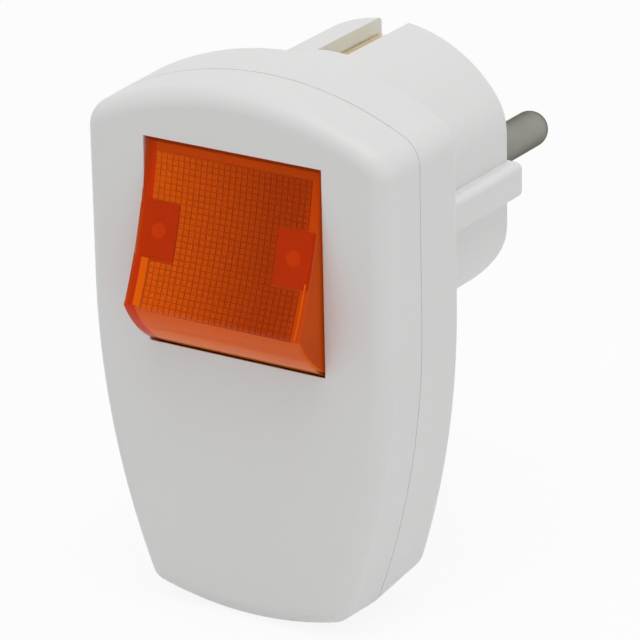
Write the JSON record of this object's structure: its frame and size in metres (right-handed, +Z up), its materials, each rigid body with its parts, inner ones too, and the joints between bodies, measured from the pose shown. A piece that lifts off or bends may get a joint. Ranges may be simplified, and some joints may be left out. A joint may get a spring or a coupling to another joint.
{
  "type": "switched mains plug",
  "caption": "Right-angled round two-pin mains plug with side earth contacts and a lit amber rocker switch, for wiring to a cord.",
  "frame": {"origin": "centre of the flat face that lands in the socket, midway between the two pins", "axes": "+X to the right as the switch is looked at, +Y out along the pins into the socket, +Z up, away from the cord entry"},
  "size_m": [0.0442, 0.0628, 0.0698],
  "materials": {
    "case_plastic": "satin moulded thermoset, fine-grained",
    "rocker_plastic": "polished transparent amber polycarbonate",
    "frame_plastic": "natural polyamide",
    "retainer_board": "laminated paper board",
    "bush_plastic": "soft PVC",
    "pin_nickel": "nickel plated brass, satin",
    "brass_strip": "bright rolled brass",
    "contact_copper": "copper alloy with silver-faced button",
    "terminal_brass": "turned brass",
    "screw_steel": "zinc plated",
    "spring_steel": "spring wire",
    "plunger_plastic": "acetal",
    "lamp_glass": "clear, neon filled",
    "resistor_body": "lacquered",
    "lead_wire": "tinned copper"
  },
  "bodies": {
    "case": {"front_cover": "case_plastic", "rear_housing": "case_plastic", "switch_frame": "frame_plastic", "frame_screws": "screw_steel", "cover_screws": "screw_steel", "pin_retainer": "retainer_board", "retainer_screw": "screw_steel", "earth_strap": "brass_strip", "earth_terminal": "terminal_brass", "terminal_screws": "screw_steel", "cord_bush": "bush_plastic", "cord_clamp": "frame_plastic", "clamp_screws": "screw_steel", "pole_bracket_left": "brass_strip", "line_pin_left": "pin_nickel", "load_contact_left": "brass_strip", "load_terminal_left": "terminal_brass", "pole_bracket_right": "brass_strip", "line_pin_right": "pin_nickel", "load_contact_right": "brass_strip", "load_terminal_right": "terminal_brass"},
    "rocker": {"rocker_cap": "rocker_plastic", "lamp_carrier": "frame_plastic", "glow_lamp": "lamp_glass", "series_resistor": "resistor_body", "lamp_leads": "lead_wire", "plunger_spring_left": "spring_steel", "plunger_spring_right": "spring_steel"},
    "plunger_left": {"plunger_left": "plunger_plastic"},
    "plunger_right": {"plunger_right": "plunger_plastic"},
    "blade_left": {"contact_blade_left": "contact_copper"},
    "blade_right": {"contact_blade_right": "contact_copper"}
  },
  "joints": [
    {"name": "rocker_tilt", "type": "hinge", "parent": "case", "child": "rocker", "pos_m": [0, -0.0299, -0.00115], "axis": [1, 0, 0], "range_deg": [0, 33.6]},
    {"name": "blade_left_tilt", "type": "hinge", "parent": "case", "child": "blade_left", "pos_m": [0, -0.0235, -0.00115], "axis": [1, 0, 0], "range_deg": [-12, 0]},
    {"name": "plunger_left_slide", "type": "slide", "parent": "rocker", "child": "plunger_left", "axis": [0, 0.9573, -0.289], "range_m": [-0.0006, 0], "stiffness_N_per_m": 400, "springref_m": 0.002, "deforming": ["plunger_spring_left"]},
    {"name": "blade_right_tilt", "type": "hinge", "parent": "case", "child": "blade_right", "pos_m": [0, -0.0235, -0.00115], "axis": [1, 0, 0], "range_deg": [-12, 0]},
    {"name": "plunger_right_slide", "type": "slide", "parent": "rocker", "child": "plunger_right", "axis": [0, 0.9573, -0.289], "range_m": [-0.0006, 0], "stiffness_N_per_m": 400, "springref_m": 0.002, "deforming": ["plunger_spring_right"]}
  ],
  "couplings": [
    {"joint": "blade_left_tilt", "follows": "rocker_tilt", "ratio": -0.35714},
    {"joint": "blade_right_tilt", "follows": "rocker_tilt", "ratio": -0.35714}
  ]
}
